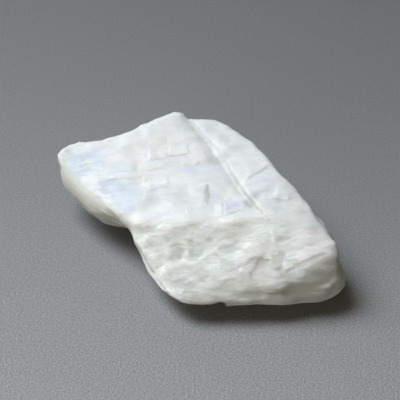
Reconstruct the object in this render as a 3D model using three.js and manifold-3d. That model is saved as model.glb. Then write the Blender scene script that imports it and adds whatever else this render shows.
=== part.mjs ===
// Rough moonstone: one cleavage fragment of milky feldspar, lying on its flattest side.
//
// Millimetres, +Z up. +X runs along the grain, which is the direction of the fine cleavage steps, and
// is also the stone's longest side. The origin is under the middle of the stone, on the surface it
// lies on.
//
// The stone is one solid. It is built as such a stone is formed: a few chunks that share one grain are
// grown into each other, flakes are raised and pits are broken out, the whole surface is split along
// the cleavage into treads and risers, and everything above the small resting face is worn.

import * as THREE from "three";
import { ConvexGeometry } from "three/addons/geometries/ConvexGeometry.js";
import { TessellateModifier } from "three/addons/modifiers/TessellateModifier.js";
import { ImprovedNoise } from "three/addons/math/ImprovedNoise.js";
import { mergeVertices } from "three/addons/utils/BufferGeometryUtils.js";
import Module from "manifold-3d";

const wasm = await Module();
wasm.setup();

// ---- Driving dimensions -------------------------------------------------------------------------

const CREST = 12.2; // height of the rib, the highest place

const LONGEST_EDGE = 2.3; // of a triangle, before the stone is split and worn
const EVENING_PASSES = 12; // rounds of turning edges
const SAME_FACING = 0.97; // cosine of the angle up to which two triangles belong to one flat area
const SOFTENING = { share: 0.3, most: 0.1 }; // how far a corner is drawn towards its neighbours

const LAYERS_FACE = new THREE.Vector3(-0.1, -0.06, 1).normalize(); // out of the face with the sheen
const FACE_STEP = 0.35; // from one tread to the next on the face with the sheen
const SLOPE_STEP = 0.55; // and on the broken slope
const SLOPE_STARTS = { from: -7, to: -9.5 }; // where, along Y, the face gives way to the slope
const SIDE_LAYER = 1.1; // thickness of the layers that show at the sides
const SIDE_RELIEF = 0.7; // how far one of them may stand out past the next

const WEAR = [
  { size: 9, depth: 0.36 }, // broad waves
  { size: 3.2, depth: 0.16 }, // small unevenness
];
const UNWORN_BELOW = 1.2; // splits and wear fade out under this height, so the resting face is flat

// ---- Solids -------------------------------------------------------------------------------------

const MERGED = 1e-4; // corners closer than this are one

function solidOf(geometry) {
  const bare = geometry.index ? geometry.toNonIndexed() : geometry.clone();
  bare.deleteAttribute("normal");
  bare.deleteAttribute("uv");
  const merged = mergeVertices(bare, MERGED);
  return new wasm.Manifold(
    new wasm.Mesh({
      numProp: 3,
      vertProperties: merged.attributes.position.array,
      triVerts: new Uint32Array(merged.index.array),
    }),
  );
}

function geometryOf(solid) {
  const mesh = solid.getMesh();
  return new THREE.BufferGeometry()
    .setAttribute("position", new THREE.BufferAttribute(mesh.vertProperties, 3))
    .setIndex(new THREE.BufferAttribute(mesh.triVerts, 1));
}

// The chunk that the given corners enclose.
function chunk(corners) {
  return solidOf(new ConvexGeometry(corners.map((corner) => new THREE.Vector3(...corner))));
}

function joined(solids) {
  return solids.reduce((grown, next) => grown.add(next));
}

// ---- Chunks -------------------------------------------------------------------------------------

// The main plate. Its broad top is the face with the sheen, and its left edge is bevelled.
const plate = chunk([
  [-24.7, 10.2, 9.1], [-25.0, 11.5, 9.2], [-22.6, 12.4, 9.7], [-11.2, 15.6, 10.9], [-6.7, 18.0, 11.2],
  [-4.6, 18.7, 11.4], [-3.3, 18.2, 11.4], [-1.8, 17.0, 11.3], [1.6, 12.2, 11.6], [8.0, 0.0, 11.6],
  [12.0, -8.5, 11.3], [2.6, -8.6, 10.8], [-8.7, -8.0, 9.4], [-12.2, -6.6, 8.9], [-14.1, -4.6, 8.9],
  [-17.9, 0.3, 8.9], [-21.1, 4.7, 8.9], [-23.7, 8.5, 9.0], [-26.1, 10.3, 8.2], [-25.6, 8.6, 7.9],
  [-22.9, 4.5, 7.8], [-20.9, 1.3, 7.8], [-16.5, -3.3, 7.8], [-13.0, -7.1, 7.8], [-26.0, 9.7, 7.5],
  [-25.6, 11.4, 7.2], [-22.6, 12.7, 6.6], [-8.6, 17.2, 6.0], [-4.6, 19.0, 7.0], [-24.6, 8.8, 7.0],
  [-21.6, 4.9, 6.8], [-15.6, -2.3, 6.8], [-12.2, -7.3, 6.6], [6.0, 12.0, 6.0], [14.0, -8.0, 6.0],
  [-8.0, -10.0, 6.0],
]);

// What is missing from the back edge of the plate.
const backHollow = chunk([
  [-23.0, 12.7, 14.0], [-20.6, 12.3, 14.0], [-18.0, 12.3, 14.0], [-16.6, 13.3, 14.0], [-12.6, 14.9, 14.0],
  [-7.6, 17.6, 14.0], [-16.0, 22.0, 14.0], [-23.0, 13.2, 3.0], [-20.6, 12.7, 3.0], [-18.0, 12.7, 3.0],
  [-12.6, 15.3, 3.0], [-7.6, 18.0, 3.0], [-16.0, 22.0, 3.0],
]);

// The hollow along the rib, into which the plate curves down.
const groove = chunk([
  [-2.2, 18.4, 10.9], [1.5, 12.6, 11.2], [4.4, 7.1, 11.2], [5.7, 3.3, 11.2], [8.0, -3.2, 11.1],
  [12.0, -9.2, 11.1], [-4.6, 17.2, 11.8], [-2.6, 11.0, 11.8], [2.2, 2.0, 11.8], [5.4, -4.6, 11.6],
  [11.4, -9.6, 11.4], [2.4, 18.4, 13.0], [10.0, 7.1, 13.0], [14.0, -9.2, 13.0],
]);

// The rib along the right edge stands a little proud of the plate.
const rib = chunk([
  [-1.8, 17.1, 11.2], [0.3, 17.0, 11.4], [2.7, 16.8, 11.5], [4.5, 15.5, 11.8], [5.3, 13.6, 11.9],
  [8.1, 10.6, CREST], [10.5, 8.3, CREST], [14.8, 1.2, CREST], [18.8, -4.9, 11.6], [22.4, -10.4, 10.8],
  [12.0, -9.0, 11.5], [8.1, -3.0, 11.8], [5.9, 3.3, 11.8], [4.6, 7.1, 11.8], [1.6, 12.2, 11.6],
  [-1.7, 17.4, 6.0], [1.4, 17.2, 6.8], [5.8, 13.8, 4.8], [10.8, 8.6, 6.8], [15.4, 1.6, 4.6],
  [19.1, -4.8, 6.6], [23.2, -11.0, 5.2], [12.0, -9.0, 6.0],
]);

// A thin piece of a deeper layer shows behind the right edge.
const sliver = chunk([
  [18.2, -3.6, 9.6], [20.8, -6.1, 9.7], [22.7, -8.3, 9.5], [23.5, -10.2, 8.9], [23.8, -12.2, 8.2],
  [21.0, -11.0, 9.0], [16.0, -2.4, 8.0], [18.0, -3.0, 5.0], [23.0, -9.0, 5.4], [24.2, -13.0, 5.6],
  [18.0, -10.0, 5.0],
]);

// The front, whose top is the broken slope that falls away towards -Y.
const front = chunk([
  [-12.7, -7.0, 8.3], [-8.7, -7.6, 9.4], [2.6, -8.0, 10.8], [12.0, -8.2, 11.4], [22.2, -10.1, 10.9],
  [23.4, -12.4, 9.9], [23.9, -14.9, 8.2], [22.4, -15.1, 9.4], [20.2, -16.1, 9.0], [15.1, -17.5, 7.8],
  [10.8, -17.8, 7.1], [8.4, -18.4, 6.4], [3.0, -19.2, 5.7], [23.6, -17.6, 5.7], [19.0, -19.0, 6.3],
  [15.4, -19.4, 6.6], [12.5, -19.7, 5.6], [8.6, -20.3, 5.0], [4.0, -20.9, 4.3], [0.0, -20.3, 4.5],
  [-4.6, -19.4, 4.2], [-6.6, -18.3, 3.9], [-8.5, -15.6, 4.6], [-10.9, -10.4, 6.0], [-12.0, -8.2, 6.6],
  [6.0, -21.1, 2.5], [17.5, -20.3, 2.9], [22.4, -18.0, 2.8], [24.0, -14.4, 5.0], [-2.4, -21.0, 2.8],
  [-8.0, -5.0, 8.0], [2.0, -5.0, 9.4], [14.0, -5.0, 10.4],
]);

// The foot carries the front and the middle, and ends below in the small flat that the stone rests on.
const foot = chunk([
  [-11.9, -8.2, 6.2], [-10.9, -10.4, 4.8], [-8.8, -14.8, 3.6], [-6.6, -18.2, 3.2], [-2.4, -20.9, 2.7],
  [4.1, -21.4, 2.4], [8.1, -21.1, 2.7], [17.5, -20.3, 2.8], [21.4, -19.9, 2.3], [23.2, -11.6, 4.6],
  [18.6, -3.2, 5.2], [14.0, 2.6, 3.4], [10.6, 8.4, 5.2], [4.6, 12.8, 3.4], [1.6, 16.0, 5.2],
  [-4.6, 16.8, 5.0], [-12.0, 13.0, 5.0], [-12.0, 10.0, 7.0], [-11.9, -7.4, 7.0], [-4.4, 17.2, 7.0],
  [10.6, 8.6, 7.0], [22.8, -11.0, 7.0], [-8.6, -4.0, 1.0], [-6.2, -13.0, 1.0], [1.0, -17.2, 1.3],
  [13.0, -17.4, 1.4], [19.4, -14.6, 1.3], [18.4, -7.0, 1.2], [12.4, 1.5, 1.3], [4.0, 8.4, 1.5],
  [-5.2, 7.4, 1.5], [-5.0, -3.0, 0.0], [-3.6, -9.4, 0.0], [1.6, -12.6, 0.0], [9.4, -12.8, 0.0],
  [13.4, -9.2, 0.0], [12.0, -3.2, 0.0], [6.6, 3.4, 0.0], [0.2, 4.6, 0.0], [-4.0, 2.4, 0.0],
]);

// The heel, under the left end of the plate, stops short of its edge and rises clear of the surface.
const heel = chunk([
  [-25.3, 7.9, 6.5], [-24.9, 10.4, 6.4], [-25.2, 6.6, 5.9], [-24.0, 4.6, 5.5], [-20.9, 1.9, 4.5],
  [-18.9, -0.7, 4.3], [-17.1, -2.6, 4.1], [-15.5, -3.2, 4.2], [-14.0, -3.1, 4.4], [-23.6, 4.5, 6.3],
  [-21.4, 1.3, 6.2], [-17.6, -2.5, 6.0], [-15.2, -4.0, 6.0], [-22.0, 11.0, 6.0], [-12.0, 12.6, 5.2],
  [-16.6, -2.4, 7.0], [-24.6, 8.0, 7.2], [-12.4, -6.0, 7.0], [-12.0, 12.8, 8.0], [-8.8, -2.4, 1.6],
  [-6.0, 6.0, 1.6], [-8.0, 10.0, 3.0],
]);

// The corner of a deeper layer, which stands out from under the front at the right.
const corner = chunk([
  [23.8, -12.6, 6.6], [24.7, -14.1, 5.9], [25.5, -15.9, 4.7], [25.4, -17.5, 3.6], [24.1, -19.0, 2.9],
  [21.6, -20.0, 2.3], [17.0, -20.4, 2.6], [13.0, -20.2, 4.8], [22.5, -18.9, 5.6], [24.2, -17.2, 5.8],
  [18.0, -12.0, 1.0], [22.4, -13.6, 1.8], [21.0, -9.0, 5.0],
]);

// The middle, where they are all grown together.
const middle = chunk([
  [-20.0, 8.0, 8.0], [-14.0, -4.0, 8.0], [-7.0, -10.0, 7.0], [-4.0, -17.0, 3.2], [18.0, -17.0, 5.0],
  [21.0, -12.0, 8.0], [9.0, 6.0, 9.6], [-4.0, 15.0, 9.0], [-14.0, 10.0, 8.4], [-9.0, -4.0, 2.0],
  [-4.0, -13.0, 2.0], [18.0, -14.0, 2.0], [12.0, 0.0, 2.0], [-4.0, 7.0, 2.0], [-16.0, 4.0, 5.0],
]);

const cutPlate = plate.subtract(backHollow).subtract(groove);
const body = joined([cutPlate, rib, sliver, front, foot, heel, corner, middle]);

// ---- Flakes and pits ----------------------------------------------------------------------------

const bodyMesh = new THREE.Mesh(geometryOf(body));

// A flat lens on top of the body, `length` by `width` and turned from the grain by `turn` radians.
// It goes as deep into the body as it stands out of it.
function lens({ x, y, length, width, height, turn = 0 }) {
  const ray = new THREE.Raycaster(new THREE.Vector3(x, y, 2 * CREST), new THREE.Vector3(0, 0, -1));
  const [{ point, face }] = ray.intersectObject(bodyMesh);
  const lie = new THREE.Quaternion().setFromUnitVectors(new THREE.Vector3(0, 0, 1), face.normal);
  const geometry = new THREE.OctahedronGeometry(1, 1).scale(length / 2, width / 2, height);
  return solidOf(geometry.rotateZ(turn).applyQuaternion(lie).translate(...point.toArray()));
}

const flakes = [
  { x: -10.2, y: -7.0, length: 4.6, width: 2.4, height: 0.4, turn: 0.25 },
  { x: -2.4, y: -7.6, length: 6.4, width: 2.8, height: 0.4, turn: -0.15 },
  { x: 5.8, y: -8.4, length: 5.4, width: 2.4, height: 0.4, turn: 0.2 },
  { x: 17.2, y: -9.4, length: 5.6, width: 2.6, height: 0.4, turn: -0.5 },
  { x: -6.3, y: -9.4, length: 5.0, width: 2.6, height: 0.45, turn: -0.35 },
  { x: 13.4, y: -9.6, length: 4.6, width: 2.0, height: 0.45, turn: -1.0 },
  { x: 9.6, y: -12.6, length: 6.4, width: 2.4, height: 0.5, turn: 0.4 },
  { x: 12.4, y: -14.9, length: 5.2, width: 3.0, height: 0.5, turn: 0.7 },
  { x: 18.4, y: -12.2, length: 4.8, width: 2.4, height: 0.45, turn: -0.5 },
  { x: -4.6, y: -15.8, length: 5.6, width: 2.6, height: 0.45, turn: 0.3 },
  { x: 3.2, y: -16.5, length: 6.0, width: 2.4, height: 0.45, turn: -0.1 },
];

const pits = [
  { x: 10.6, y: -16.9, length: 5.6, width: 3.4, height: 0.45, turn: 0.75 },
  { x: -1.6, y: -12.2, length: 2.4, width: 1.3, height: 0.35 },
  { x: 1.8, y: -12.0, length: 2.2, width: 1.2, height: 0.35, turn: 0.3 },
  { x: 4.4, y: -13.7, length: 2.4, width: 1.2, height: 0.45, turn: -0.2 },
  { x: -7.6, y: -12.4, length: 2.0, width: 1.2, height: 0.3 },
  { x: 15.6, y: -12.6, length: 2.6, width: 1.5, height: 0.45, turn: 0.4 },
  { x: 20.6, y: -13.6, length: 1.8, width: 1.6, height: 0.45 },
  { x: -0.4, y: -18.8, length: 2.8, width: 1.2, height: 0.35, turn: 0.1 },
];

const stone = joined([body, ...flakes.map(lens)]).subtract(joined(pits.map(lens)));

// ---- Mesh ---------------------------------------------------------------------------------------

// Where two solids graze each other, joining them can leave a speck of no volume. Only the largest
// connected skin is kept.
function outerSkin(geometry) {
  const triangles = geometry.index.array;
  const root = Array.from({ length: geometry.attributes.position.count }, (_, index) => index);
  const find = (index) => {
    while (root[index] !== index) index = root[index] = root[root[index]];
    return index;
  };
  for (let first = 0; first < triangles.length; first += 3) {
    root[find(triangles[first + 1])] = find(triangles[first]);
    root[find(triangles[first + 2])] = find(triangles[first]);
  }
  const sizes = new Map();
  for (const index of triangles) sizes.set(find(index), (sizes.get(find(index)) ?? 0) + 1);
  const [largest] = [...sizes].sort((one, other) => other[1] - one[1])[0];
  return geometry.setIndex([...triangles].filter((index) => find(index) === largest));
}

function refined(geometry) {
  const tessellated = new TessellateModifier(LONGEST_EDGE, 12).modify(geometry.toNonIndexed());
  return mergeVertices(tessellated, MERGED);
}

// Turns the edge between two triangles of one flat area where that gives less pointed triangles.
function evened(geometry) {
  const { array: triangles } = geometry.index;
  const { position } = geometry.attributes;
  const at = (index) => new THREE.Vector3().fromBufferAttribute(position, index);
  const facing = (a, b, c) => new THREE.Triangle(at(a), at(b), at(c)).getNormal(new THREE.Vector3());
  const angle = (a, b, c) => at(a).sub(at(b)).angleTo(at(c).sub(at(b)));
  const third = (first, a, b) => triangles.slice(first, first + 3).find((c) => c !== a && c !== b);
  for (let pass = 0; pass < EVENING_PASSES; pass++) {
    const onLeft = new Map(); // from each directed edge to the triangle on its left
    for (let first = 0; first < triangles.length; first += 3) {
      for (let side = 0; side < 3; side++) {
        onLeft.set(`${triangles[first + side]} ${triangles[first + ((side + 1) % 3)]}`, first);
      }
    }
    const turned = new Set();
    for (const [edge, first] of onLeft) {
      const [a, b] = edge.split(" ").map(Number);
      const other = onLeft.get(`${b} ${a}`);
      if (a > b || turned.has(first) || turned.has(other)) continue;
      const c = third(first, a, b);
      const d = third(other, a, b);
      const isPointed = angle(a, c, b) + angle(b, d, a) > Math.PI + 0.01;
      if (!isPointed || onLeft.has(`${c} ${d}`) || onLeft.has(`${d} ${c}`)) continue;
      const normal = facing(a, b, c);
      const facings = [facing(b, a, d), facing(a, d, c), facing(d, b, c)];
      if (facings.some((next) => next.dot(normal) < SAME_FACING)) continue;
      triangles.set([a, d, c], first);
      triangles.set([d, b, c], other);
      turned.add(first).add(other);
      onLeft.set(`${c} ${d}`, first);
    }
  }
  return geometry;
}

// Moves every corner of the mesh to where `move` puts it. `move` gets the corner and its facing.
function moved(geometry, move) {
  geometry.computeVertexNormals();
  const { position, normal } = geometry.attributes;
  for (let index = 0; index < position.count; index++) {
    const point = new THREE.Vector3().fromBufferAttribute(position, index);
    const facing = new THREE.Vector3().fromBufferAttribute(normal, index);
    move(point, facing, index);
    position.setXYZ(index, point.x, point.y, point.z);
  }
  return geometry;
}

// ---- Cleavage and wear --------------------------------------------------------------------------

const noise = new ImprovedNoise();
const { smoothstep, lerp } = THREE.MathUtils;

function exposure({ z }) {
  return smoothstep(z, 0, UNWORN_BELOW);
}

// How far a level lies off a stair with flat treads and steep risers, in steps.
function offStair(level) {
  const rest = level - Math.floor(level);
  return smoothstep(rest, 0.62, 0.98) - rest;
}

// Splits the surface along the layers. On top this leaves treads and risers that run with the grain.
// At the sides each layer ends a little further out or in than the next.
function split(point, facing) {
  const flatness = facing.dot(LAYERS_FACE);
  const height = point.dot(LAYERS_FACE);
  const step = lerp(FACE_STEP, SLOPE_STEP, smoothstep(-point.y, -SLOPE_STARTS.from, -SLOPE_STARTS.to));
  const ragged = 1.5 * noise.noise(point.x / 7, point.y / 3, 0.5);
  const layer = Math.floor(height / SIDE_LAYER + 0.6 * noise.noise(point.x / 9, point.y / 9, 3));
  const relief = SIDE_RELIEF * noise.noise(point.x / 5, point.y / 5, layer * 3.7);
  const onTop = smoothstep(flatness, 0.5, 0.8);
  const atSide = 1 - smoothstep(Math.abs(flatness), 0.3, 0.6);
  point.addScaledVector(LAYERS_FACE, onTop * step * offStair(height / step + ragged));
  point.addScaledVector(facing, atSide * exposure(point) * relief);
}

function wear(point) {
  const push = new THREE.Vector3();
  for (const { size, depth } of WEAR) {
    const [x, y, z] = point.clone().divideScalar(size).toArray();
    push.x += depth * noise.noise(x, y, z);
    push.y += depth * noise.noise(x + 31.4, y, z);
    push.z += depth * noise.noise(x, y + 27.1, z);
  }
  point.addScaledVector(push, exposure(point));
}

// Draws every corner towards the middle of its neighbours, but not off the resting face.
function softened(geometry) {
  const { position } = geometry.attributes;
  const triangles = geometry.index.array;
  const sums = Array.from({ length: position.count }, () => ({ total: new THREE.Vector3(), count: 0 }));
  for (let first = 0; first < triangles.length; first += 3) {
    for (let side = 0; side < 3; side++) {
      const sum = sums[triangles[first + side]];
      sum.total.add(new THREE.Vector3().fromBufferAttribute(position, triangles[first + ((side + 1) % 3)]));
      sum.count++;
    }
  }
  return moved(geometry, (point, facing, index) => {
    const { total, count } = sums[index];
    const draw = total.divideScalar(count).sub(point).multiplyScalar(SOFTENING.share);
    draw.clampLength(0, SOFTENING.most);
    if (point.z === 0) draw.z = 0;
    point.add(draw);
  });
}

// ---- The part -----------------------------------------------------------------------------------

const blank = evened(refined(outerSkin(geometryOf(stone))));
const worn = moved(softened(moved(blank, split)), wear);
worn.computeBoundingBox();
const middleOfOutline = worn.boundingBox.getCenter(new THREE.Vector3()).setZ(0);
worn.translate(...middleOfOutline.negate().toArray());

const moonstone = new THREE.Mesh(
  worn,
  new THREE.MeshStandardMaterial({ color: 0xe3e7e6, roughness: 0.42, metalness: 0 }),
);
moonstone.name = "moonstone";

const part = new THREE.Group();
part.add(moonstone);

export default part;
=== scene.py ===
"""A rough moonstone on a pale table.

The stone is one cleavage fragment of milky feldspar. The frame holds its solid with the main ledges,
the slope and the flat that it rests on. This script gives that solid its real surface: the treads and
flakes of the cleavage, the chips of the broken slope, the layers at the sides, and the milky body of
the stone, with its blue sheen, highlights, glints and shade painted into its colour.

Places on the stone are in millimetres from the point under its middle, with +X along the grain.
"""

import math

import bmesh
import bpy
import numpy as np
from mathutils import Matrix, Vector, noise


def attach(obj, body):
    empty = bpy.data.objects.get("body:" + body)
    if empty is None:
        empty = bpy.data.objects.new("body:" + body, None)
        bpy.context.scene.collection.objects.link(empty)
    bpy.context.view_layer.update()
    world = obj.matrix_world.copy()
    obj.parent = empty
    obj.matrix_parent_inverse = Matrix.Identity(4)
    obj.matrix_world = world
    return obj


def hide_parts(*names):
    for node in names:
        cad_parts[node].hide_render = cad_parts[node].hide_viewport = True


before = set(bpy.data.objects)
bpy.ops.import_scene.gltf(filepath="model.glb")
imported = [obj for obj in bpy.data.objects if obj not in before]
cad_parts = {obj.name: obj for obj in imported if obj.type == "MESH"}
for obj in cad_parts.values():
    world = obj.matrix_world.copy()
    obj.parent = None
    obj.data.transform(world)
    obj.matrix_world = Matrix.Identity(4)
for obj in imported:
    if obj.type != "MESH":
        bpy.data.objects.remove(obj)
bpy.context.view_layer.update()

MM = 0.001
SHARE = (0, 1)

# ---- The camera ---------------------------------------------------------------------------------

AIM = Vector((0.33, 3.46, 5.0)) * MM
DISTANCE = 397 * MM
ELEVATION = math.radians(45)
LENS = 200
SENSOR = 36

# ---- The surface --------------------------------------------------------------------------------

MERGED = 0.001 * MM
VOXEL = 0.22 * MM
RESTING_BAND = 0.04  # what lies this low belongs to the resting flat
FREE_ABOVE = (0.1, 1.2)  # relief fades in between these heights

# How long each place is worn.
ROUNDING_PASSES = 9
BEVEL_PASSES = 50
CREASE_PASSES = 90
SLOPE_PASSES = 110
EDGE_PASSES = 24
FINISHING_PASSES = 1
FINISHING_SHARE = 0.4

# The way that the cleavage layers face, and how squarely the top, the slope and the plate face it.
LAYERS = np.array((-0.1, -0.06, 1.0)) / math.sqrt(0.1**2 + 0.06**2 + 1)
TOP_FACING = (0.35, 0.65)
SLOPE_FACING = 0.5
PLATE_FACING = 0.8

# In front of the rim the slope breaks off to the steep side.
RIM = (
    (-9.0, -13.0), (-6.0, -16.7), (0.3, -18.3), (4.1, -19.1), (8.6, -18.5), (12.5, -18.0), (15.1, -17.2),
    (23.0, -16.6), (24.6, -14.0),
)
# Just behind the rim the slope ends in an edge that is worn round, and so is the top of the right end.
SLOPE_END = (
    (-9.0, -12.6), (-6.0, -16.3), (0.3, -17.9), (4.1, -18.6), (8.6, -18.2), (12.5, -17.6), (15.4, -16.6),
    (20.5, -15.4), (22.9, -14.1),
)
EDGE_REACH = 1.4
RIGHT_END = 19.5

# The low front edge is drawn out and up, most between the two middle heights, and only in front of
# the first Y and left of the last X.
FRONT_OUT = 0.55
FRONT_UP = 0.45
FRONT_HEIGHTS = (1.4, 2.4, 3.2, 5.0)
FRONT_Y = (-5, -9)
FRONT_X = (14, RIGHT_END)

# The sides are made of layers, and are darkened with painted shade. The painted shade is weaker along
# the pale line and grows from right to left between two X.
SIDE_LAYER = 0.7  # thickness
SIDE_RELIEF = 0.2
PALE_SIDE = ((-12.5, -6.5), (-9.5, -12.5), (-5.0, -17.5))
PALE_REACH = (1.5, 3.5)
PALE_SHARE = 0.75
SIDE_SHADE_X = (6, -10)
SIDE_SHADE_AT_RIGHT = 0.38

# The broken slope starts in front of this line, and the face rolls over to it from a little behind.
CREST = ((-13.0, -5.8), (-6.0, -6.6), (2.0, -6.8), (12.5, -7.4), (23.0, -9.0))
CREST_LOWEST = 7.5
CREST_REACH = 2.4

# Along this line the plate drops to a narrow crevice at the edge of the rib.
RIB_EDGE = (
    (-1.6, 18.4), (0.3, 15.0), (1.8, 12.4), (3.8, 9.0), (5.3, 5.2), (6.8, 1.7), (8.2, -1.4),
    (10.1, -4.6), (12.2, -7.6),
)
PLATE_DROP = 0.17
CREVICE_REACH = (0.8, 1.4)  # ridges this near to it get no painted highlight

# The left edge of the plate, worn to a round bevel between two heights.
PLATE_EDGE = ((-25.8, 12.0), (-25.2, 9.4), (-22.6, 5.6), (-20.6, 2.6), (-16.2, -2.2), (-12.7, -5.9))
BEVEL_REACH = 2.4
BEVEL_HEIGHTS = (4.2, 8.4)
TIP_END = 0.22  # past this share of the edge the crease between the bevel and the slab is worn away
# The slab under it slopes outward: it is pushed out most between the two middle heights.
SLAB_OUT = 0.7
SLAB_HEIGHTS = (3.0, 4.8, 6.4, 7.8)

# Treads and flakes: the middle of the riser, its length, how far the tread runs back from it, its
# height, and the way that it turns from facing the front, counter-clockwise in radians. A height
# below 0 is a hollow that runs forward from its riser.
LEFT = -math.pi / 2
RIGHT = math.pi / 2
TREADS = (
    (-7.2, 8.2, 3.4, 2.5, 0.12, 0.05),
    (-3.6, 9.0, 3.7, 2.7, 0.14, 0),
    (-8.3, 5.7, 4.8, 1.8, 0.07, 0.06),
    (-1.6, 6.5, 2.6, 1.6, 0.08, 0),
    (-6.9, 1.2, 3.6, 2.4, 0.10, 0.12),
    (-9.8, 2.1, 6.4, 1.8, 0.07, LEFT),
    (-14.0, 4.1, 8.5, 1.6, 0.09, 0.05),
    (-14.1, 6.0, 5.6, 1.4, 0.06, -0.03),
    (1.7, -1.2, 4.6, 2.2, 0.07, RIGHT),
    (6.2, -5.5, 3.6, 2.6, 0.12, 0),
    (4.2, -4.4, 3.0, 1.5, 0.10, RIGHT),
    (-1.9, -5.1, 2.6, 1.0, 0.09, LEFT),
    (10.4, 3.1, 6.2, 2.0, 0.09, 0.61),
    (13.4, -3.2, 4.8, 1.8, 0.08, 0),
    (-19.5, 8.4, 4.2, 1.2, 0.07, 0.1),
    (-17.0, 0.6, 3.0, 1.1, 0.08, -0.5),
    (-1.0, 12.8, 4.2, 1.6, 0.05, 0.2),
)
TREADS_HIGHEST = 0.14
FLAKE_SHARE = 0.5  # of the height of the flakes, which lie on the slope
FLAKES = (
    (-5.6, -8.6, 3.6, 1.4, 0.16, -0.4),
    (-9.1, -7.2, 2.6, 1.1, 0.10, 0),
    (8.2, -14.7, 6.2, 2.2, 0.20, 0.32),
    (10.0, -15.4, 4.5, 2.6, 0.2, 0.98),
    (18.3, -14.9, 7.5, 2.0, 0.26, 0.37),
    (12.9, -10.8, 2.8, 1.0, 0.18, -1.08),
    (-1.9, -12.0, 2.6, 1.2, 0.14, -1.3),
    (-7.8, -12.4, 2.2, 1.0, 0.10, -0.5),
    (-3.0, -16.2, 3.0, 1.2, 0.12, 0.1),
    (5.8, -17.4, 3.4, 1.2, 0.14, 0.1),
    (16.4, -6.2, 2.4, 1.3, 0.10, 0.2),
    (18.4, -7.0, 1.8, 1.1, 0.09, -0.4),
    (15.2, -4.6, 1.6, 1.0, 0.08, 0.3),
    (-1.4, -10.1, 1.5, 0.8, -0.16, 0),
    (1.8, -10.1, 1.3, 0.7, -0.12, 0),
    (6.5, -10.6, 1.4, 0.7, -0.10, 0),
    (-5.5, -9.1, 1.0, 0.5, -0.12, 0),
    (15.0, -10.7, 1.7, 0.9, -0.18, 0.1),
    (-6.8, -13.2, 1.2, 0.6, -0.10, 0),
    (1.0, -16.2, 1.9, 1.0, -0.14, 0),
)

# How slowly each kind runs out from its riser, and how square its corners are.
TREAD_FORM = (2.5, 6)
PLATE_FLAKE_FORM = (2, 6)
FLAKE_FORM = (1.3, 3)

# Small flakes at random places: how many, the seed, the least and the most of their length, width
# and height, and how far they turn either way. A share of them are hollows.
PLATE_FLAKES = (170, 4, (1.5, 5.0), (0.7, 1.8), (0.02, 0.07), 0.12)
SLOPE_FLAKES = (700, 5, (0.8, 3.0), (0.4, 1.0), (0.02, 0.055), 0.35)
PLAN = (26, 20)  # half the length and width of the stone
HOLLOW_SHARE = 0.35
HOLLOW_DEPTH = 0.7  # as a share of a flake's height

# Scars of broken chips over the slope, the sides and the underside.
SCARS = 700
SCARS_SEED = 12
SCARS_ABOVE = 0.3
SCAR_SIZES = (0.6, 1.8)  # half their width
SCAR_DEPTHS = (0.02, 0.05)  # as a share of that
NOTCH = ((3.6, -19.8, 2.9), 0.9, 1.6)  # in the low front edge: its place, half its width, its depth
FACET_DEPTH = 0.05  # how far a facet lies under its place
FACET_CUT = 0.12  # the most that it takes off

# Flat facets of the slope: a point on it, the way it looks, its length and width.
FACETS = (
    ((-3.8, -11.8), (-0.05, -0.42, 0.90), 3.8, 3.2),
    ((-0.1, -12.1), (-0.10, -0.40, 0.90), 3.2, 3.0),
    ((-7.8, -10.8), (-0.30, -0.40, 0.86), 3.4, 3.4),
    ((13.6, -14.4), (0.10, -0.30, 0.94), 3.2, 3.2),
    ((5.0, -12.2), (-0.02, -0.42, 0.90), 4.6, 2.2),
)

# How far in mm a point stands out where the painted highlight on its ridge starts and how much further
# until it is white, how deep it lies where the painted shade in its hollow is darkest, how far around it
# the surface is taken, and how strong the painted highlight on the lit edge of the rib is.
RIDGE_LEAST = 0.015
RIDGE_HEIGHT = 0.06
HOLLOW_DARKEST = 0.08
AROUND_PASSES = 5
RIB_LIGHT = 0.4

# Where the stone's tint changes, and where sheen, highlights and shade are painted into it: the middle,
# length, width, turn and strength of each place.
# Painted highlights: white and blue-white on the sheen, and white on the slope.
SHINE_HIGHLIGHTS = (
    (-20.7, 11.3, 3.0, 1.6, 0, 0.7), (-20.2, 8.4, 3.6, 2.6, 0, 1), (-17.5, 6.7, 4.6, 2.2, -0.2, 0.7),
    (-14.2, 5.0, 4.2, 1.6, -0.2, 0.6), (-12.4, -2.2, 3.0, 4.4, 0, 0.3), (0.9, 4.9, 2.8, 1.2, 0, 0.8),
    (-6.1, -4.6, 2.4, 0.9, 0, 0.9), (3.1, -4.4, 1.4, 3.0, 0, 0.4), (-3.2, 10.3, 3.6, 2.2, 0, 0.5),
    (-7.2, 7.4, 3.2, 1.4, 0, 0.8), (-2.0, -4.6, 1.6, 3.0, -0.1, 0.7), (8.6, 8.6, 4.4, 2.0, 0.3, 0.5),
    (17.8, -11.4, 7.0, 6.0, -0.3, 1), (9.5, -13.0, 7.0, 3.0, 0.3, 0.8), (21.8, -11.0, 3.0, 6.0, 0, 1),
)
# Painted blue sheen.
BLUE_SHEEN = (
    (-20.2, 8.6, 8.4, 6.2, 0.1, 1), (-13.6, 6.2, 6.0, 3.8, 0, 0.5), (-13.0, -0.6, 5.6, 6.6, -0.2, 0.8),
    (0.3, 5.0, 8.0, 2.4, 0, 0.6), (-16.0, 2.6, 6.0, 4.0, 0.1, 0.5),
)
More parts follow.
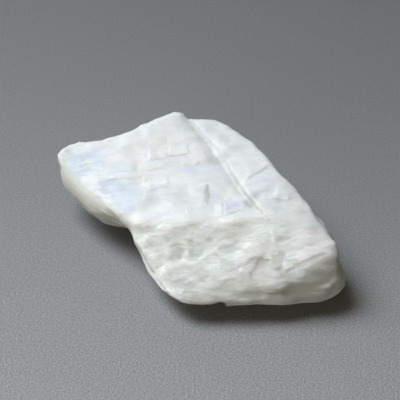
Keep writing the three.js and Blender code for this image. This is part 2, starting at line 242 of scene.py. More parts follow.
# Painted violet sheen.
VIOLET_SHEEN = (
    (-15.5, 2.6, 6.0, 5.0, 0, 0.75), (-11.5, 3.0, 2.6, 1.8, 0, 0.4),
    (5.9, -3.9, 4.2, 3.4, 0, 1), (2.6, -2.4, 4.0, 4.6, 0, 0.4), (-6.2, -0.4, 9.0, 5.4, 0, 0.35),
    (-3.6, 17.4, 4.6, 4.0, 0.3, 0.2), (11.2, 0.3, 6.4, 6.4, 0.6, 0.3), (1.4, 15.0, 3.6, 4.0, 0.4, 0.4),
    (13.8, -4.6, 5.6, 4.0, 0.4, 0.3), (-11.9, -2.6, 2.4, 3.4, 0, 0.6),
)
# The stone's grey-cyan tone beside the rib's edge, which is also painted shade there, and painted shade on
# the tip.
WATERY_AND_SHADE = (
    (-24.2, 11.0, 4.4, 4.0, 0, 1), (3.4, 7.4, 6.4, 3.0, 0.2, 0.7),
    (6.6, 9.4, 4.6, 3.4, 0.3, 0.25), (9.2, -3.1, 2.4, 4.0, -0.5, 1), (4.6, 11.9, 2.4, 3.6, 0.5, 0.5),
    (1.5, -0.8, 1.0, 4.0, -0.1, 0.9), (7.2, 1.8, 1.6, 6.0, -0.4, 0.5),
)
# A pale cream tone on the top, made paler as painted light.
CREAM_AND_LIGHT = (
    (-7.0, 10.4, 8.0, 5.0, 0.1, 1), (-10.0, 9.0, 10.0, 7.0, 0.3, 0.5), (-0.7, 9.2, 1.6, 4.6, 0, 0.8),
    (-4.0, 12.6, 7.0, 3.0, 0.2, 0.3),
)
CRUSHED = (
    (-9.1, -6.6, 2.8, 1.4, 0, 1), (-5.8, -8.0, 3.6, 1.3, -0.4, 1), (-1.9, -11.8, 0.7, 3.0, 0.2, 1),
    (9.0, -13.4, 6.8, 1.8, 0.35, 1), (8.6, -15.8, 3.2, 2.6, 0, 0.9), (13.6, -14.2, 2.6, 2.6, 0, 0.7),
    (12.8, -10.6, 1.1, 2.8, 0.4, 0.9), (19.8, -11.0, 2.2, 3.2, 0, 0.7), (-2.8, -15.4, 3.2, 1.6, 0, 0.8),
    (5.8, -16.8, 3.2, 1.8, 0, 0.8), (16.3, -4.7, 4.0, 3.4, 0, 0.8), (17.4, -14.0, 1.4, 1.0, 0, 0.9),
    (2.9, -13.8, 1.8, 1.2, 0, 0.7), (12.4, -6.2, 3.0, 2.0, -0.6, 0.8), (17.6, -8.2, 5.0, 2.6, -0.3, 0.6),
    (17.6, -11.2, 5.0, 4.0, -0.3, 0.8), (21.6, -11.5, 3.0, 4.0, 0, 0.6),
)
# Grey on the slope's facets and along its front, and painted shade in its pits.
GREY_AND_SHADE = (
    (-3.8, -11.7, 3.6, 3.0, 0, 0.7), (-0.1, -12.0, 3.2, 3.0, 0, 0.7), (-7.8, -10.7, 3.4, 3.2, 0, 0.6),
    (1.0, -16.5, 2.0, 1.3, 0, 0.9), (-1.4, -10.4, 1.6, 0.9, 0, 1), (1.8, -10.4, 1.3, 0.8, 0, 0.9),
    (6.5, -10.9, 1.5, 0.8, 0, 0.8), (15.0, -11.0, 1.8, 1.1, 0, 1), (-5.5, -9.3, 1.2, 0.7, 0, 1),
    (-6.8, -13.4, 1.4, 0.7, 0, 0.8), (5.3, -11.9, 5.0, 1.6, 0, 0.5), (17.4, -16.9, 10.0, 1.6, 0.1, 0.7),
    (9.9, -15.6, 0.8, 4.2, -0.6, 0.8), (-2.0, -17.6, 8.0, 1.6, -0.2, 0.6), (16.6, -5.6, 0.5, 0.4, 0, 1),
)


def soft_step(value, start, end):
    share = np.clip((value - start) / (end - start), *SHARE)
    return share * share * (3 - 2 * share)


def noise_at(points, size, seed=0.0):
    """Smooth noise from -1 to 1 whose lumps measure `size` along X, Y and Z."""
    scaled = points / np.array(size) + seed
    return np.array([noise.noise(point) for point in scaled])


def from_line(points, line):
    """The distance in plan from a line, less than 0 on its left, and the share of it passed."""
    flat = points[:, :2]
    nearest = np.full(len(flat), np.inf)
    distance = np.empty(len(flat))
    passed = np.empty(len(flat))
    steps = len(line) - 1
    for step, (start, end) in enumerate(zip(np.array(line[:-1]), np.array(line[1:]))):
        along = end - start
        share = np.clip((flat - start) @ along / (along @ along), *SHARE)
        offset = flat - (start + share[:, None] * along)
        away = np.hypot(*offset.T)
        closer = away < nearest
        turned = along[0] * offset[:, 1] - along[1] * offset[:, 0]
        distance[closer] = (away * np.where(turned > 0, -1, 1))[closer]
        passed[closer] = ((step + share) / steps)[closer]
        nearest = np.minimum(nearest, away)
    return distance, passed


def fine_copy(node):
    """An evenly meshed copy of a solid of the frame."""
    form = bmesh.new()
    form.from_mesh(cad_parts[node].data)
    bmesh.ops.remove_doubles(form, verts=form.verts, dist=MERGED)
    mesh = bpy.data.meshes.new(node + "_surface")
    form.to_mesh(mesh)
    form.free()
    piece = bpy.data.objects.new(node + "_surface", mesh)
    bpy.context.collection.objects.link(piece)
    even = piece.modifiers.new("even mesh", "REMESH")
    even.mode = "VOXEL"
    even.voxel_size = VOXEL
    even.use_smooth_shade = True
    evaluated = piece.evaluated_get(bpy.context.evaluated_depsgraph_get())
    piece.data = bpy.data.meshes.new_from_object(evaluated)
    piece.modifiers.clear()
    return piece


def smoothed(piece, passes, factor=0.5, where=None):
    """Rounds the surface, or only the points that `where` marks, but not the resting flat."""
    form = bmesh.new()
    form.from_mesh(piece.data)
    form.verts.ensure_lookup_table()
    resting = [vert for vert in form.verts if vert.co.z < RESTING_BAND * MM]
    verts = form.verts if where is None else [form.verts[index] for index in np.flatnonzero(where)]
    for _ in range(passes):
        bmesh.ops.smooth_vert(
            form, verts=verts, factor=factor, use_axis_x=True, use_axis_y=True, use_axis_z=True
        )
    for vert in resting:
        vert.co.z = 0
    form.to_mesh(piece.data)
    form.free()


def points_of(piece):
    flat = np.empty(3 * len(piece.data.vertices))
    piece.data.vertices.foreach_get("co", flat)
    return flat.reshape(-1, 3) / MM


def facings_of(piece):
    flat = np.empty(3 * len(piece.data.vertices))
    piece.data.vertices.foreach_get("normal", flat)
    return flat.reshape(-1, 3)


def put_points(piece, points):
    piece.data.vertices.foreach_set("co", (points * MM).ravel())
    piece.data.update()


def on_top(facings):
    return soft_step(facings @ LAYERS, *TOP_FACING)


def on_slope(points):
    ragged = 0.9 * noise_at(points, (2.4, 1.4, 2.4), 5.5)
    return soft_step(from_line(points, CREST)[0] + ragged, -1.4, 1)


def ragged_plan(points):
    """Plan places that wander a little, so that the outline of a flake is ragged."""
    wander = [
        0.5 * noise_at(points, (2.4, 1.6, 2.4), seed) + 0.2 * noise_at(points, (0.8, 0.5, 0.8), seed + 5)
        for seed in (3.5, 13.5)
    ]
    return points[:, :2] + np.stack(wander, axis=1)


def relief_of(plan, flakes, runout, corners):
    """The height of flakes above the stone. Each is highest at its riser and runs out from there."""
    relief = np.zeros(len(plan))
    for x, y, length, width, rise, turn in flakes:
        offset = plan - (x, y)
        near = np.flatnonzero(np.abs(offset).max(axis=1) < length + width)
        along = offset[near] @ (math.cos(turn), math.sin(turn))
        run = offset[near] @ (-math.sin(turn), math.cos(turn)) * math.copysign(1, rise) / width
        reach = (2 * np.abs(along) / length) ** corners + np.clip(run, *SHARE) ** corners
        height = soft_step(run, -0.04, 0.06) * (1 - np.clip(run, *SHARE) ** runout)
        relief[near] += rise * height * (1 - soft_step(reach, 0.85, 1.05))
    return relief


def scattered(count, seed, length, width, rise, turn):
    """Flakes at random places, with sizes between the given pairs."""
    rng = np.random.default_rng(seed)
    x, y = PLAN
    low, high = np.transpose(((-x, x), (-y, y), length, width, rise, (-turn, turn)))
    flakes = rng.uniform(low, high, (count, len(low)))
    flakes[rng.random(count) < HOLLOW_SHARE, 4] *= -HOLLOW_DEPTH
    return flakes


def from_rib(points):
    """The ragged distance in plan from the edge of the rib, and the share of it passed."""
    gap, passed = from_line(points, RIB_EDGE)
    return gap + 0.14 * noise_at(points, (1.1, 1.1, 1.1), 7.5), passed


def ledge(points):
    """How far the plate drops beside the rib, below 0."""
    gap, passed = from_rib(points)
    fade = soft_step(passed, 0, 0.06) * (1 - soft_step(passed, 0.9, 1))
    return -PLATE_DROP * fade * (1 - soft_step(gap, 0, 1.3)) * soft_step(gap, -0.3, 0)


def seams(points, plan):
    """Two masks: painted shade, 1 in the crevice and at the foot of each tread, and a painted highlight, 1
    on the lit edge of the rib.
    """
    gap, passed = from_rib(points)
    dark = soft_step(passed, 0, 0.06) * (1 - soft_step(np.abs(gap + 0.1), 0.05, 0.3))
    light = soft_step(passed, 0.45, 0.8) * (1 - soft_step(np.abs(gap + 0.5), 0.1, 0.35))
    for x, y, length, _, rise, turn in TREADS:
        offset = plan - (x, y)
        along = offset @ (math.cos(turn), math.sin(turn)) / length
        before = offset @ (math.sin(turn), -math.cos(turn))
        line = (1 - soft_step(np.abs(before - 0.12), 0.05, 0.25)) * (1 - soft_step(np.abs(along), 0.3, 0.5))
        dark = np.maximum(dark, line * rise / TREADS_HIGHEST)
    return dark, light


def pushed_slab(points):
    """How far the slab under the left edge is pushed out, along X, Y and Z."""
    gap, passed = from_line(points, PLATE_EDGE)
    lowest, low, high, highest = SLAB_HEIGHTS
    height = points[:, 2]
    out = soft_step(height, lowest, low) * (1 - soft_step(height, high, highest))
    out *= soft_step(passed, 0.1, 0.3) * (1 - soft_step(passed, 0.75, 0.95))
    out *= 1 - soft_step(np.abs(gap), BEVEL_REACH, 2 * BEVEL_REACH)
    along = np.array(PLATE_EDGE[-1]) - PLATE_EDGE[0]
    return SLAB_OUT * out[:, None] * np.array((along[1], -along[0], 0)) / np.hypot(*along)


def drawn_front(points, facings):
    """How far the low front edge is drawn out, along X, Y and Z."""
    lowest, low, high, highest = FRONT_HEIGHTS
    height = points[:, 2]
    out = soft_step(height, lowest, low) * (1 - soft_step(height, high, highest))
    out *= soft_step(points[:, 1], *FRONT_Y) * (1 - soft_step(points[:, 0], *FRONT_X))
    return out[:, None] * (facings * (FRONT_OUT, FRONT_OUT, 0) + (0, 0, FRONT_UP))


def on_slab(points):
    """1 on the slab under the left edge of the plate."""
    gap, passed = from_line(points, PLATE_EDGE)
    below = soft_step(gap, -0.7, 0.5) * (1 - soft_step(gap, BEVEL_REACH, 2 * BEVEL_REACH))
    return below * soft_step(passed, 0, 0.1) * (1 - soft_step(passed, 0.85, 0.97))


def on_bevel(points):
    """1 on the bevel, whose inner border with the plate is ragged."""
    inward = -from_line(points, PLATE_EDGE)[0]
    ragged = 0.15 * noise_at(points, (0.9, 0.9, 0.9), 9.5)
    band = soft_step(inward, -1.2, -0.6) * (1 - soft_step(inward + ragged, 0.8, 1.2))
    return band * soft_step(points[:, 2], 6.6, 7.4)


def side_layers(points, facings):
    """The layers end a little further out or in, one after the other, at the sides."""
    at_side = 1 - soft_step(np.abs(facings @ LAYERS), 0.35, 0.7)
    ragged = 0.7 * noise_at(points, (6, 6, 3), 2.5)
    level = points @ LAYERS / SIDE_LAYER + ragged
    layer = np.floor(level)
    seeds = np.stack((points[:, 0] / 4, points[:, 1] / 4, layer * 3.7), axis=1)
    out = SIDE_RELIEF * noise_at(seeds, (1, 1, 1))
    return at_side * out


def scars(points, places, sizes, depths, wander):
    """Shallow hollows where chips broke off. They meet in crisp low ridges."""
    deep = np.zeros(len(points))
    for place, size, depth in zip(places, sizes, depths):
        offset = (points - place) / (2 * size, size, size)
        near = np.flatnonzero(np.abs(offset).max(axis=1) < 1.2)
        reach = np.einsum("ij,ij->i", offset[near], offset[near]) + wander[near]
        deep[near] = np.maximum(deep[near], depth * (1 - reach))
    return deep


def cut_flat(points, place, face, length, width, wander):
    """Brings the surface near a place to a plane: high spots are cut off it and low spots are filled."""
    offset = points - place
    along = np.cross(LAYERS, face)
    along /= np.linalg.norm(along)
    across = np.cross(face, along)
    reach = np.hypot(2 * offset @ along / length, 2 * offset @ across / width)
    inside = (1 - soft_step(reach + wander, 0.7, 1.1)) * (np.abs(offset @ face) < length)
    above = offset @ face + FACET_DEPTH
    return (inside * np.clip(above, None, FACET_CUT))[:, None] * face


def broken(points, facings, free):
    """Flat facets on the slope, and scars over the slope, the sides and the underside."""
    wander = 0.3 * noise_at(points, (1.6, 1.1, 1.1), 41.5)
    top = facings @ LAYERS > 0.3
    for place, face, length, width in FACETS:
        away = np.hypot(*(points[:, :2] - place).T) + np.where(top, 0, np.inf)
        face = np.array(face) / np.linalg.norm(face)
        middle = points[away.argmin()].copy()
        points -= free[:, None] * cut_flat(points, middle, face, length, width, wander)
    rng = np.random.default_rng(SCARS_SEED)
    plate = (facings @ LAYERS > PLATE_FACING) & (from_line(points, CREST)[0] < 1)
    bevel = (np.abs(from_line(points, PLATE_EDGE)[0]) < BEVEL_REACH) & (points[:, 2] > 6)
    open_ground = ~plate & ~bevel & (points[:, 2] > SCARS_ABOVE)
    places = rng.choice(np.flatnonzero(open_ground), SCARS, replace=False)
    sizes = rng.uniform(*SCAR_SIZES, SCARS)
    depths = sizes * rng.uniform(*SCAR_DEPTHS, SCARS)
    place, size, depth = NOTCH
    places = np.vstack((points[places], place))
    sizes = np.append(sizes, size)
    depths = np.append(depths, depth)
    points -= (free * scars(points, places, sizes, depths, wander))[:, None] * facings


def neighbour_means(piece):
    """A function that gives each point's value as the mean of its neighbours' values."""
    ends = np.empty(2 * len(piece.data.edges), dtype=int)
    piece.data.edges.foreach_get("vertices", ends)
    here, there = np.concatenate((ends.reshape(-1, 2), ends.reshape(-1, 2)[:, ::-1])).T
    size = len(piece.data.vertices)
    count = np.bincount(here, minlength=size)

    def means(values):
        return np.bincount(here, weights=values[there], minlength=size) / count

    return means


def standing_out(piece, passes):
    """How far each point stands out from the surface around it, in mm, and below 0 in a hollow."""
    points = points_of(piece)
    means = neighbour_means(piece)
    around = points.T
    for _ in range(passes):
        around = np.array([means(values) for values in around])
    return np.einsum("ij,ij->i", points - around.T, facings_of(piece))


def keep_attribute(piece, name, values):
    attribute = piece.data.attributes.new(name, "FLOAT", "POINT")
    attribute.data.foreach_set("value", np.clip(values, 0, 1).astype(np.float32))


def tinted(plan, places):
    """How strongly each point has the tint of the places near it."""
    tint = np.zeros(len(plan))
    for x, y, length, width, turn, strength in places:
        offset = plan - (x, y)
        along = offset @ (math.cos(turn), math.sin(turn))
        across = offset @ (-math.sin(turn), math.cos(turn))
        reach = np.hypot(2 * along / length, 2 * across / width)
        tint = np.maximum(tint, strength * (1 - soft_step(reach, 0.5, 1.2)))
    return tint


def wear(stone):
    """Rounds the stone, draws out its slab and front edge, and wears its bevel, slope and edges."""
    smoothed(stone, ROUNDING_PASSES)
    points = points_of(stone)
    points += pushed_slab(points) + drawn_front(points, facings_of(stone))
    put_points(stone, points)

    low, high = BEVEL_HEIGHTS
    gap, passed = from_line(points, PLATE_EDGE)
    bevel = (points[:, 2] > low) & (points[:, 2] < high) & (np.abs(gap) < BEVEL_REACH)
    smoothed(stone, BEVEL_PASSES, where=bevel)
    smoothed(stone, CREASE_PASSES, where=bevel & (passed > TIP_END))

    before_crest = from_line(points, CREST)[0]
    before_end = from_line(points, SLOPE_END)[0]
    chipped = (facings_of(stone) @ LAYERS > SLOPE_FACING) & (before_crest > -CREST_REACH)
    chipped |= (np.abs(before_crest) < CREST_REACH) & (points[:, 2] > CREST_LOWEST)
    chipped &= before_end < 0
    smoothed(stone, SLOPE_PASSES, where=chipped)

    edges = np.abs(before_end) < EDGE_REACH
    edges |= (points[:, 0] > RIGHT_END) & (points[:, 2] > CREST_LOWEST)
    smoothed(stone, EDGE_PASSES, where=edges)


def side_shade(points, top):
    """How strongly painted shade darkens the sides and the slab under the left edge."""
    side = np.maximum(1 - top, soft_step(from_line(points, RIM)[0], -0.2, 0.5))
    pale = 1 - soft_step(np.abs(from_line(points, PALE_SIDE)[0]), *PALE_REACH)
    left = soft_step(points[:, 0], *SIDE_SHADE_X)
    side *= (1 - PALE_SHARE * pale) * (SIDE_SHADE_AT_RIGHT + (1 - SIDE_SHADE_AT_RIGHT) * left)
    return np.maximum(side, on_slab(points))


def chip(stone):
    """Breaks the worn stone into treads, flakes, facets and scars, and keeps where its paint changes."""
    points = points_of(stone)
    facings = facings_of(stone)
    top = on_top(facings)
    slope = on_slope(points)
    free = soft_step(points[:, 2], *FREE_ABOVE)
    plan = ragged_plan(points)

    broken(points, facings, free)
    treads = relief_of(plan, TREADS, *TREAD_FORM)
    plate_relief = treads + relief_of(plan, scattered(*PLATE_FLAKES), *PLATE_FLAKE_FORM)
    slope_relief = FLAKE_SHARE * relief_of(plan, FLAKES, *FLAKE_FORM)
    slope_relief += relief_of(plan, scattered(*SLOPE_FLAKES), *FLAKE_FORM)
    relief = plate_relief * (1 - slope) + slope_relief * slope + ledge(points)
    points = points + (free * top * relief)[:, None] * LAYERS
    points = points + (free * side_layers(points, facings))[:, None] * facings
    put_points(stone, points)
    smoothed(stone, FINISHING_PASSES, FINISHING_SHARE)
    stone.data.update()

    # Painted light: highlights on the ridges and on the lit edge of the rib, and shade in the hollows and
    # the seams.
    out = standing_out(stone, AROUND_PASSES)
    dark, light = seams(points, plan)
    clear_of_rib = soft_step(np.abs(from_line(points, RIB_EDGE)[0]), *CREVICE_REACH)
    ridge_highlight = (out - RIDGE_LEAST) / RIDGE_HEIGHT * clear_of_rib
    keep_attribute(stone, "ridge_highlight", np.maximum(ridge_highlight, RIB_LIGHT * light * top))
    keep_attribute(stone, "hollow", -out / HOLLOW_DARKEST)
    keep_attribute(stone, "slope", slope)
    # Painted shade on the sides and the slab.
    keep_attribute(stone, "side", side_shade(points, top))
    keep_attribute(stone, "seam_shade", dark * top)
    keep_attribute(stone, "bevel", on_bevel(points))
    # Painted highlight on the treads, stronger the higher they stand.
    keep_attribute(stone, "tread", treads / TREADS_HIGHEST * top)
    # Painted sheen, highlights and shade, and the stone's own tints, place by place.
    for name, places in (
        ("shine_highlight", SHINE_HIGHLIGHTS), ("blue", BLUE_SHEEN), ("violet_sheen", VIOLET_SHEEN), ("watery_and_shade", WATERY_AND_SHADE),
        ("cream_and_light", CREAM_AND_LIGHT), ("crushed", CRUSHED), ("grey", GREY_AND_SHADE),
    ):
        keep_attribute(stone, name, tinted(plan, places) * top)


def moonstone():
    """The stone with its finished surface, in place of the frame's solid."""
    stone = fine_copy("moonstone")
    wear(stone)
    chip(stone)
    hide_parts("moonstone")
    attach(stone, "root")
    return stone


# ---- Materials ----------------------------------------------------------------------------------


class Paint:
    """Places nodes in a material and links them, so that a recipe reads line by line."""

    def __init__(self, name):
        self.material = bpy.data.materials.new(name)
        self.material.use_nodes = True
        self.nodes = self.material.node_tree.nodes
        self.shader = self.nodes["Principled BSDF"]

    def put(self, socket, value):
        if isinstance(value, bpy.types.NodeSocket):
            self.material.node_tree.links.new(value, socket)
        else:
            socket.default_value = value

    def place(self, size):
        """Object coordinates in units of `size`, which is in mm along X, Y and Z."""
        mapping = self.nodes.new("ShaderNodeMapping")
        mapping.inputs["Scale"].default_value = [1 / (length * MM) for length in size]
        self.put(mapping.inputs["Vector"], self.nodes.new("ShaderNodeTexCoord").outputs["Object"])
        return mapping.outputs["Vector"]

    def attribute(self, name):
        node = self.nodes.new("ShaderNodeAttribute")
        node.attribute_name = name
        return node.outputs["Fac"]

    def noise(self, size, detail=3.0, roughness=0.5, output="Fac"):
        """Noise from 0 to 1 whose lumps measure `size`, in mm, along X, Y and Z."""
        node = self.nodes.new("ShaderNodeTexNoise")
        node.inputs["Scale"].default_value = 1
        node.inputs["Detail"].default_value = detail
        node.inputs["Roughness"].default_value = roughness
        self.put(node.inputs["Vector"], self.place(size))
        return node.outputs[output]

    def voronoi(self, size, wander, feature, distance="EUCLIDEAN"):
        """Cells of `size` whose walls wander by a share of it."""
        away = self.nodes.new("ShaderNodeVectorMath")
        away.operation = "MULTIPLY_ADD"
        self.put(away.inputs[0], self.noise(size, 3, 0.6, "Color"))
        away.inputs[1].default_value = (2 * wander, 2 * wander, 2 * wander)
        self.put(away.inputs[2], self.place(size))
        node = self.nodes.new("ShaderNodeTexVoronoi")
        node.feature = feature
        node.distance = distance
        node.inputs["Scale"].default_value = 1
        self.put(node.inputs["Vector"], away.outputs["Vector"])
        return node

    def cells(self, size, wander, distance="EUCLIDEAN"):
        """A value from 0 to 1 for each cell."""
        return self.voronoi(size, wander, "F1", distance).outputs["Color"]

    def facets(self, size, wander):
        """The height of small flat facets, each tilted its own way."""
        node = self.voronoi(size, wander, "F1")
        tilt = self.nodes.new("ShaderNodeVectorMath")
        tilt.operation = "SUBTRACT"
        self.put(tilt.inputs[0], node.outputs["Color"])
        tilt.inputs[1].default_value = (0.5, 0.5, 0.5)
        offset = self.nodes.new("ShaderNodeVectorMath")
        offset.operation = "SUBTRACT"
        self.put(offset.inputs[0], node.inputs["Vector"].links[0].from_socket)
        self.put(offset.inputs[1], node.outputs["Position"])
        height = self.nodes.new("ShaderNodeVectorMath")
        height.operation = "DOT_PRODUCT"
        self.put(height.inputs[0], tilt.outputs["Vector"])
        self.put(height.inputs[1], offset.outputs["Vector"])
        return height.outputs["Value"]

    def cracks(self, size, wander, width):
        """1 on the walls between the cells."""
        away = self.voronoi(size, wander, "DISTANCE_TO_EDGE").outputs["Distance"]
        return self.between(away, 0, width, 1, 0)

    def flecks(self, size, least):
        """1 in crisp flecks, which are fewer the more `least` is."""
        return self.between(self.noise(size, 4, 0.65), least, least + 0.05)

    def between(self, value, low, high, to_low=0.0, to_high=1.0):
        node = self.nodes.new("ShaderNodeMapRange")
        node.interpolation_type = "SMOOTHSTEP"
        for name, item in (
            ("Value", value), ("From Min", low), ("From Max", high), ("To Min", to_low), ("To Max", to_high)
        ):
            self.put(node.inputs[name], item)
        return node.outputs["Result"]

    def both(self, first, second):
        node = self.nodes.new("ShaderNodeMath")
        node.operation = "MULTIPLY"
        self.put(node.inputs[0], first)
        self.put(node.inputs[1], second)
        return node.outputs[0]

    def mixed(self, share, first, second):
        node = self.nodes.new("ShaderNodeMix")
        node.data_type = "RGBA"
        self.put(node.inputs["Factor"], share)
        self.put(node.inputs[6], first)
        self.put(node.inputs[7], second)
        return node.outputs[2]

    def bumped(self, height, depth, under=None):
        node = self.nodes.new("ShaderNodeBump")
        node.inputs["Strength"].default_value = 1
        node.inputs["Distance"].default_value = depth * MM
        self.put(node.inputs["Height"], height)
        if under is not None:
            self.put(node.inputs["Normal"], under)
        return node.outputs["Normal"]


LAVENDER_GREY = (0.82, 0.855, 0.885, 1)
MILKY = (0.89, 0.925, 0.945, 1)
WHITE = (0.96, 0.98, 0.99, 1)
PALE_BLUE = (0.66, 0.775, 0.965, 1)
PERIWINKLE = (0.60, 0.66, 0.84, 1)
WATERY_GREEN = (0.60, 0.67, 0.67, 1)
CREAM = (0.95, 0.97, 0.975, 1)
BLUE_WHITE = (0.80, 0.89, 0.98, 1)
SAGE = (0.90, 0.94, 0.925, 1)
DIM_SAGE = (0.78, 0.83, 0.80, 1)
SMOKY = (0.60, 0.64, 0.61, 1)
WARM_SHADE = (0.53, 0.555, 0.51, 1)


STONE_IOR = 1.52
GLOW_SHARE = 0.45
GLOW_REACH = (1.1, 0.95, 0.75)
GLOW_DEPTH = 2.2 * MM
BROKEN_ROUGHNESS = (0.28, 0.55)


def stone_material():
    paint = Paint("milky moonstone")
    tint = paint.attribute
    clouds = paint.between(paint.noise((4, 1.6, 2), 4, 0.6), 0.35, 0.65)
    threads = paint.between(paint.noise((1.8, 0.16, 0.5), 3, 0.6), 0.42, 0.66)
    crumbs = paint.between(paint.noise((0.35, 0.22, 0.25), 3, 0.6), 0.38, 0.62)
    tiles = paint.cells((2.6, 1.2, 1.2), 0.12, "CHEBYCHEV")
    panes = paint.cells((2.6, 1.5, 1.5), 0.5)
    cracks = paint.cracks((2.4, 1.5, 1.5), 0.5, 0.04)

    face = paint.mixed(clouds, LAVENDER_GREY, MILKY)
    face = paint.mixed(paint.both(tiles, 0.6), face, MILKY)
    # Pale cream tone, partly painted light.
    face = paint.mixed(tint("cream_and_light"), face, CREAM)
    # Painted blue and violet sheen.
    face = paint.mixed(paint.both(tint("blue"), paint.between(threads, 0, 1, 0.75, 1)), face, PALE_BLUE)
    face = paint.mixed(paint.both(tint("violet_sheen"), paint.between(tiles, 0, 1, 1, 0.5)), face, PERIWINKLE)
    # Grey-cyan tone, with painted shade beside the rib's edge and on the tip.
    face = paint.mixed(tint("watery_and_shade"), face, WATERY_GREEN)
    # Painted highlights and glints on the sheen.
    shine = paint.both(tint("shine_highlight"), paint.between(tiles, 0.2, 0.5, 0.3, 1))
    face = paint.mixed(paint.both(shine, paint.between(threads, 0, 1, 0.5, 1)), face, BLUE_WHITE)
    glints = paint.both(tint("shine_highlight"), paint.flecks((1.0, 0.24, 0.4), 0.54))
    face = paint.mixed(glints, face, WHITE)
    # Painted highlight on the treads.
    face = paint.mixed(paint.both(tint("tread"), paint.between(clouds, 0, 1, 0.1, 0.4)), face, WHITE)
    # Painted glints all over the top.
    face = paint.mixed(paint.both(paint.flecks((0.7, 0.25, 0.4), 0.62), 0.8), face, WHITE)

    slope = paint.mixed(panes, DIM_SAGE, SAGE)
    # Grey facets, and painted shade in the pits.
    slope = paint.mixed(paint.both(tint("grey"), 0.7), slope, SMOKY)
    # Painted highlights on the slope.
    slope = paint.mixed(paint.both(tint("shine_highlight"), 0.85), slope, WHITE)
    slope = paint.mixed(paint.both(cracks, paint.both(clouds, 0.9)), slope, WHITE)
    # Painted glints on the slope, then darker flecks.
    slope = paint.mixed(paint.both(paint.flecks((1.0, 0.36, 0.45), 0.6), 0.75), slope, WHITE)
    slope = paint.mixed(paint.both(paint.flecks((0.9, 0.4, 0.5), 0.64), 0.35), slope, SMOKY)

    body = paint.mixed(tint("slope"), face, slope)
    body = paint.mixed(tint("bevel"), body, DIM_SAGE)
    # Painted shade, warm grey, on the sides and the slab.
    body = paint.mixed(tint("side"), body, WARM_SHADE)
    # Painted shade in the hollows and the seams, and painted highlights on the ridges and the lit edge of
    # the rib.
    body = paint.mixed(paint.both(tint("hollow"), 0.45), body, SMOKY)
    body = paint.mixed(paint.both(tint("seam_shade"), 0.7), body, SMOKY)
    body = paint.mixed(paint.both(tint("ridge_highlight"), 0.7), body, WHITE)
    body = paint.mixed(paint.both(tint("crushed"), paint.between(crumbs, 0, 1, 0.35, 1)), body, WHITE)
    paint.put(paint.shader.inputs["Base Color"], body)

    patchy = paint.noise((1.6, 0.8, 0.8), 4, 0.7)
    paint.put(paint.shader.inputs["Roughness"], paint.between(patchy, 0.3, 0.7, *BROKEN_ROUGHNESS))
    chipped = paint.between(tint("slope"), 0, 1, 0.1, 1)
    small = paint.bumped(paint.both(paint.facets((1.1, 0.6, 0.6), 0.3), chipped), 0.08)
    broad = paint.bumped(paint.both(paint.facets((3.0, 1.5, 1.5), 0.3), chipped), 0.22, small)
    stepped = paint.bumped(paint.both(tiles, paint.between(tint("slope"), 0, 1, 1, 0)), 0.08, broad)
    grain = paint.bumped(paint.noise((0.4, 0.25, 0.25), 3, 0.6), 0.018, stepped)
    fibres = paint.bumped(paint.both(threads, paint.between(tint("slope"), 0, 1, 1, 0.15)), 0.024, grain)
    crushed = paint.bumped(paint.both(tint("crushed"), crumbs), 0.03, fibres)
    layers = paint.bumped(paint.both(tint("side"), paint.noise((5, 5, 0.45), 3, 0.6)), 0.25, crushed)
    paint.put(paint.shader.inputs["Normal"], layers)

    paint.shader.inputs["IOR"].default_value = STONE_IOR
    paint.shader.inputs["Subsurface Weight"].default_value = GLOW_SHARE
    paint.shader.inputs["Subsurface Radius"].default_value = GLOW_REACH
    paint.shader.inputs["Subsurface Scale"].default_value = GLOW_DEPTH
    return paint.material


TABLE_GREY = (0.207, 0.218, 0.228, 1)
TABLE_PALE = (0.342, 0.352, 0.368, 1)
TABLE_ROUGHNESS = 0.6


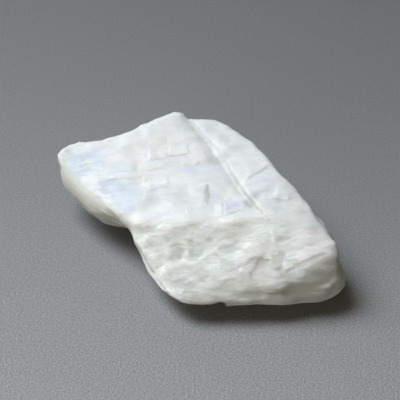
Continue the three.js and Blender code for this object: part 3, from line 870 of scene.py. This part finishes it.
def table_material():
    paint = Paint("pale table")
    grain = paint.between(paint.noise((0.35, 0.35, 0.35), 2, 0.5), 0.25, 0.75)
    worn = paint.between(paint.noise((0.5, 0.5, 0.5), 2, 0.6), 0.2, 0.8)
    place = paint.nodes.new("ShaderNodeSeparateXYZ")
    paint.put(place.inputs["Vector"], paint.place((100, 100, 100)))
    front = paint.between(place.outputs["Y"], 0.5, -0.5, 0.3, 1)  # the table is paler, and its grain shows more, towards the front
    fine = paint.mixed(paint.both(grain, front), TABLE_GREY, TABLE_PALE)
    paint.put(paint.shader.inputs["Base Color"], fine)
    paint.put(paint.shader.inputs["Normal"], paint.bumped(paint.both(worn, front), 0.07))
    paint.shader.inputs["Roughness"].default_value = TABLE_ROUGHNESS
    return paint.material


stone = moonstone()
stone.data.materials.clear()
stone.data.materials.append(stone_material())

# ---- The table, the light and the camera --------------------------------------------------------


TABLE_REACH = 2
ROOM_TINT = (1, 0.80, 0.50, 1)
ROOM_STRENGTH = 0.07


def table():
    form = bmesh.new()
    bmesh.ops.create_grid(form, x_segments=1, y_segments=1, size=TABLE_REACH)
    mesh = bpy.data.meshes.new("table")
    form.to_mesh(mesh)
    form.free()
    floor = bpy.data.objects.new("table", mesh)
    bpy.context.collection.objects.link(floor)
    mesh.materials.append(table_material())


def soft_light(name, place, aim, size, spread, power, tint):
    data = bpy.data.lights.new(name, "AREA")
    data.shape = "DISK"
    data.size = size
    data.energy = power
    data.color = tint
    data.spread = math.radians(spread)
    light = bpy.data.objects.new(name, data)
    bpy.context.collection.objects.link(light)
    light.location = place
    light.rotation_euler = (Vector(aim) - Vector(place)).to_track_quat("-Z", "Y").to_euler()


def camera():
    data = bpy.data.cameras.new("camera")
    data.lens = LENS
    data.sensor_width = SENSOR
    data.clip_start = 0.01
    data.clip_end = 20
    eye = bpy.data.objects.new("camera", data)
    bpy.context.collection.objects.link(eye)
    back = Vector((0, -math.cos(ELEVATION), math.sin(ELEVATION)))
    eye.location = AIM + DISTANCE * back
    eye.rotation_euler = (-back).to_track_quat("-Z", "Y").to_euler()
    bpy.context.scene.camera = eye


table()
soft_light(
    "window", place=(-0.28, 0.07, 0.42), aim=(0.015, -0.22, 0), size=0.52, spread=58, power=1.04,
    tint=(0.93, 0.968, 1),
)
soft_light(
    "room", place=(-0.42, -0.42, 0.2), aim=(0, 0, 0.005), size=0.35, spread=120, power=0.31,
    tint=(1, 0.86, 0.66),
)
camera()

world = bpy.data.worlds.new("room")
world.use_nodes = True
world.node_tree.nodes["Background"].inputs["Color"].default_value = ROOM_TINT
world.node_tree.nodes["Background"].inputs["Strength"].default_value = ROOM_STRENGTH
bpy.context.scene.world = world
bpy.context.scene.view_settings.view_transform = "Standard"
